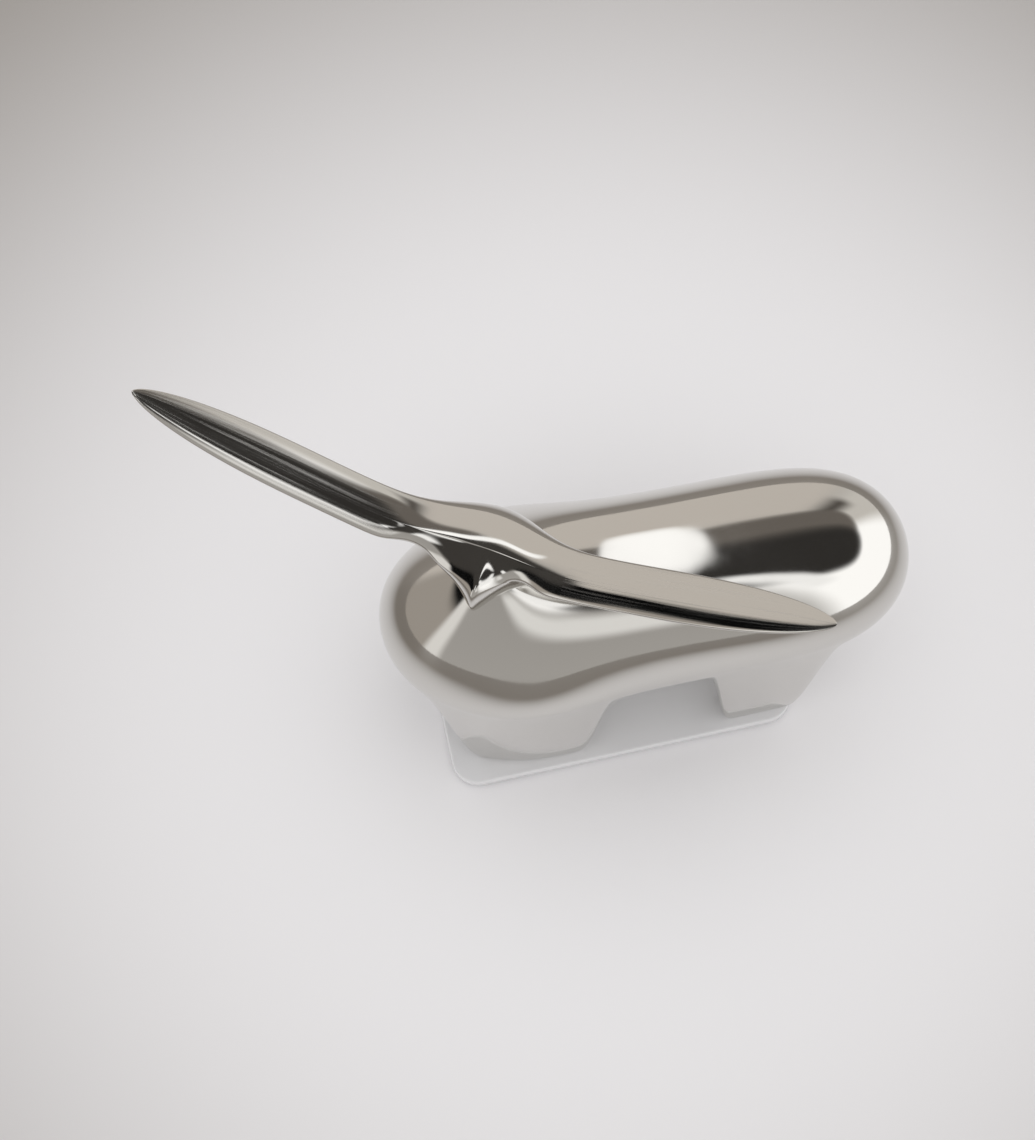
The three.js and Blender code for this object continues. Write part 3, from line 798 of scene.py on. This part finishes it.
def lay_floor(settings):
    """A wide flat pale floor at the felt's underside, whose colour is painted darker smoothly away from
    the ornament, a painted pool of light.
    """
    material, tree, shader = new_material("matt_studio_floor")
    place = add(tree, "ShaderNodeTexCoord").outputs["Object"]
    away = add(tree, "ShaderNodeVectorMath", {0: place}, operation="LENGTH").outputs["Value"]
    # Painted pool of light: the colour goes from the pale floor near the ornament to the painted shade
    # further away
    painted_dimming = add(
        tree,
        "ShaderNodeMapRange",
        {"Value": away, "From Min": FLOOR_PAINTED_SHADE_FROM, "From Max": FLOOR_PAINTED_SHADE_TO},
        interpolation_type="SMOOTHSTEP",
    )
    tint = add(tree, "ShaderNodeMix", {"Factor": painted_dimming.outputs[0]}, data_type="RGBA")
    tint.inputs["A"].default_value = (*settings.finish.floor, 1)
    tint.inputs["B"].default_value = (*settings.finish.floor_painted_shade, 1)
    tree.links.new(tint.outputs["Result"], shader.inputs["Base Color"])
    shader.inputs["Roughness"].default_value = 0.45
    mesh = bpy.data.meshes.new("floor")
    half = FLOOR_HALF
    corners = [(-half, -half, 0), (half, -half, 0), (half, half, 0), (-half, half, 0)]
    mesh.from_pydata(corners, [], [(0, 1, 2, 3)])
    mesh.materials.append(material)
    floor = bpy.data.objects.new("floor", mesh)
    bpy.context.collection.objects.link(floor)


# What the metal sees of the bare studio, at the horizon and from this many degrees up, and the light
# that falls on everything else
BARE_WALLS = "#BDBAB6"
BARE_CEILING = "#B0ADA9"
BARE_CEILING_FROM = 70
LIGHT = "#FFFFFF"
# Soft panels on the studio's walls as the metal sees them: heading and half breadth, lowest and
# highest elevation and softness, all in degrees, then colour and strength. Heading 0 is away from
# the camera, 90 to its right.
WALLS = [
    (-10, 45, -12, 48, 10, "#DDD6CE", 1.0),  # beige wall, far
    (-85, 34, -12, 34, 8, "#B4ADA5", 1.0),  # grey wall, left
    (60, 24, -8, 46, 8, "#E4E0DA", 1.0),  # dim end of the white window
    (111, 45, -6, 62, 8, "#FFFFFF", 1.5),  # white window, right
    (40, 6, 22, 54, 6, "#645F5A", 1.0),  # dark post, far right
    (-140, 50, 58, 86, 8, "#66625D", 1.0),  # grey ceiling, near
    (-80, 36, 28, 62, 4, "#0C0C0C", 1.0),  # black cloth, left
]
# Panels of the ceiling, in lengths of its height above the object: place and half breadth to the
# right, place and half length away, skew and softness, then colour and strength.
CEILING = [
    (0.18, 0.90, 0.10, 0.70, 0.0, 0.5, "#45423F", 1.0),  # dark ceiling
    (0.64, 0.46, 0.58, 0.36, 0.0, 0.8, "#77716B", 1.0),  # its lighter far end
    (0.60, 0.48, -0.12, 0.52, 0.0, 0.8, "#383634", 1.0),  # its darkest part
    (0.17, 0.055, 0.58, 0.70, 0.08, 0.8, "#FFFFFF", 1.5),  # strip lamp
]
# Sine of the elevation below which the ceiling's plan stops, and how square its panels are
CEILING_STOPS = 0.05
CEILING_POWER = 3.0
# Lamps in front of both, given as the walls' panels are
LAMPS = [
    (145, 6, 40, 69, 4, "#FFFFFF", 1.3),  # small lamp, right
    (170, 9, 30, 52, 6, "#F6F5F3", 1.1),  # small lamp, near
    (-119, 7, -4, 48, 4, "#F4F2EF", 1.1),  # narrow window, left
    (-159, 9, 55, 69, 4, "#FFFFFF", 1.3),  # small lamp, overhead
]


def wall_mask(tree, heading, height, panel):
    """1 within a panel's span of heading and elevation, smoothly down to 0 across its soft edges."""
    centre, half, bottom, top, soft = (math.radians(degrees) for degrees in panel)
    away = add(tree, "ShaderNodeMath", {0: heading, 1: centre}, operation="SUBTRACT").outputs[0]
    away = add(
        tree, "ShaderNodeMath", {0: away, 1: math.pi, 2: -math.pi}, operation="WRAP"
    ).outputs[0]
    beside = add(tree, "ShaderNodeMath", {0: away}, operation="ABSOLUTE").outputs[0]
    edges = [
        (beside, half + soft, half - soft),
        (height, bottom - soft, bottom + soft),
        (height, top + soft, top - soft),
    ]
    mask = 1.0
    for value, start, end in edges:
        edge = add(
            tree,
            "ShaderNodeMapRange",
            {"Value": value, "From Min": start, "From Max": end},
            interpolation_type="SMOOTHSTEP",
        )
        mask = add(
            tree, "ShaderNodeMath", {0: edge.outputs[0], 1: mask}, operation="MULTIPLY"
        ).outputs[0]
    return mask


def ceiling_mask(tree, right, ahead, panel):
    """1 within a rounded oblong of the ceiling, where both offsets, each as a share of its half length
    and raised to a power, add up to less than 1, and smoothly down to 0 outside it."""
    place, half, along, half_length, skew, soft = panel
    right = add(
        tree, "ShaderNodeMath", {0: ahead, 1: -skew, 2: right}, operation="MULTIPLY_ADD"
    ).outputs[0]
    share = 0.0
    for value, centre, span in ((right, place, half), (ahead, along, half_length)):
        offset = add(
            tree,
            "ShaderNodeMath",
            {0: value, 1: 1 / span, 2: -centre / span},
            operation="MULTIPLY_ADD",
        )
        offset = add(tree, "ShaderNodeMath", {0: offset.outputs[0]}, operation="ABSOLUTE")
        raised = add(
            tree, "ShaderNodeMath", {0: offset.outputs[0], 1: CEILING_POWER}, operation="POWER"
        )
        share = add(
            tree, "ShaderNodeMath", {0: raised.outputs[0], 1: share}, operation="ADD"
        ).outputs[0]
    edge = add(
        tree,
        "ShaderNodeMapRange",
        {"Value": share, "From Min": 1 + soft, "From Max": 1 - soft},
        interpolation_type="SMOOTHSTEP",
    )
    return edge.outputs[0]


def light_studio(scene):
    """A pale even light, in which polished metal sees the studio's soft panels and dark corners."""
    world = bpy.data.worlds.new("studio")
    world.use_nodes = True
    scene.world = world
    tree = world.node_tree
    tree.nodes.clear()
    way = add(tree, "ShaderNodeTexCoord").outputs["Generated"]
    axes = add(tree, "ShaderNodeSeparateXYZ", {"Vector": way}).outputs
    heading = add(
        tree, "ShaderNodeMath", {0: axes["X"], 1: axes["Y"]}, operation="ARCTAN2"
    ).outputs[0]
    height = add(tree, "ShaderNodeMath", {0: axes["Z"]}, operation="ARCSINE").outputs[0]
    rise = add(
        tree,
        "ShaderNodeMapRange",
        {"Value": height, "From Min": 0.0, "From Max": math.radians(BARE_CEILING_FROM)},
    )
    seen = add(tree, "ShaderNodeMix", {"Factor": rise.outputs[0]}, data_type="RGBA")
    seen.inputs["A"].default_value = (*linear(BARE_WALLS), 1)
    seen.inputs["B"].default_value = (*linear(BARE_CEILING), 1)
    up = add(
        tree, "ShaderNodeMath", {0: axes["Z"], 1: CEILING_STOPS}, operation="MAXIMUM"
    ).outputs[0]
    right = add(tree, "ShaderNodeMath", {0: axes["X"], 1: up}, operation="DIVIDE").outputs[0]
    ahead = add(tree, "ShaderNodeMath", {0: axes["Y"], 1: up}, operation="DIVIDE").outputs[0]
    masks = [(panel, wall_mask(tree, heading, height, panel[:-2])) for panel in WALLS]
    masks += [(panel, ceiling_mask(tree, right, ahead, panel[:-2])) for panel in CEILING]
    masks += [(panel, wall_mask(tree, heading, height, panel[:-2])) for panel in LAMPS]
    for (*_, code, strength), mask in masks:
        covered = add(tree, "ShaderNodeMix", {"Factor": mask}, data_type="RGBA")
        tree.links.new(seen.outputs["Result"], covered.inputs["A"])
        covered.inputs["B"].default_value = (*[strength * c for c in linear(code)], 1)
        seen = covered
    rays = add(tree, "ShaderNodeLightPath").outputs
    shown = add(tree, "ShaderNodeMix", {"Factor": rays["Is Glossy Ray"]}, data_type="RGBA")
    shown.inputs["A"].default_value = (*linear(LIGHT), 1)
    tree.links.new(seen.outputs["Result"], shown.inputs["B"])
    back = add(tree, "ShaderNodeBackground", {"Color": shown.outputs["Result"], "Strength": 1.0})
    add(tree, "ShaderNodeOutputWorld", {"Surface": back.outputs[0]})


def set_camera(scene, stage):
    """A camera at the photograph's angle, turned by heading, pitch and roll about its point."""
    ahead = Vector(
        (
            math.sin(stage.heading) * math.cos(stage.pitch),
            math.cos(stage.heading) * math.cos(stage.pitch),
            -math.sin(stage.pitch),
        )
    )
    right = Vector((math.cos(stage.heading), -math.sin(stage.heading), 0))
    down = ahead.cross(right)
    across = right * math.cos(stage.roll) + down * math.sin(stage.roll)
    up = right * math.sin(stage.roll) - down * math.cos(stage.roll)
    data = bpy.data.cameras.new("camera")
    data.sensor_fit = "HORIZONTAL"
    data.sensor_width = SENSOR_WIDTH
    data.lens = stage.lens
    data.clip_start = NEAREST
    camera = bpy.data.objects.new("camera", data)
    turn = Matrix((across, up, -ahead)).transposed().to_4x4()
    camera.matrix_world = Matrix.Translation(Vector(stage.look) - ahead * stage.distance) @ turn
    bpy.context.collection.objects.link(camera)
    scene.camera = camera


class BULL_PT_sidebar(bpy.types.Panel):
    """Lists the ornament's pieces and the stage"""

    bl_idname = "BULL_PT_sidebar"
    bl_label = "Bull Ornament"
    bl_space_type = "VIEW_3D"
    bl_region_type = "UI"
    bl_category = "Bull"

    def draw(self, context):
        for operator in OPERATORS:
            self.layout.operator(operator.bl_idname)


GROUPS = [
    BullTorso,
    BullLegs,
    BullHead,
    BullHorns,
    BullBase,
    BullFinish,
    BullStage,
    BullSettings,
]
OPERATORS = [BULL_OT_body, BULL_OT_head, BULL_OT_base, BULL_OT_fixings, BULL_OT_stage]


def register():
    """Adds the settings, operators and panel to Blender."""
    for group in [*GROUPS, *OPERATORS, BULL_PT_sidebar]:
        bpy.utils.register_class(group)
    bpy.types.Scene.bull = PointerProperty(type=BullSettings)


def unregister():
    """Takes them out again."""
    del bpy.types.Scene.bull
    for group in reversed([*GROUPS, *OPERATORS, BULL_PT_sidebar]):
        bpy.utils.unregister_class(group)


def main():
    """Builds the ornament and its stage."""
    register()
    bpy.ops.bull.body()
    bpy.ops.bull.head()
    bpy.ops.bull.base()
    bpy.ops.bull.fixings()
    bpy.ops.bull.stage()


if __name__ == "__main__":
    main()
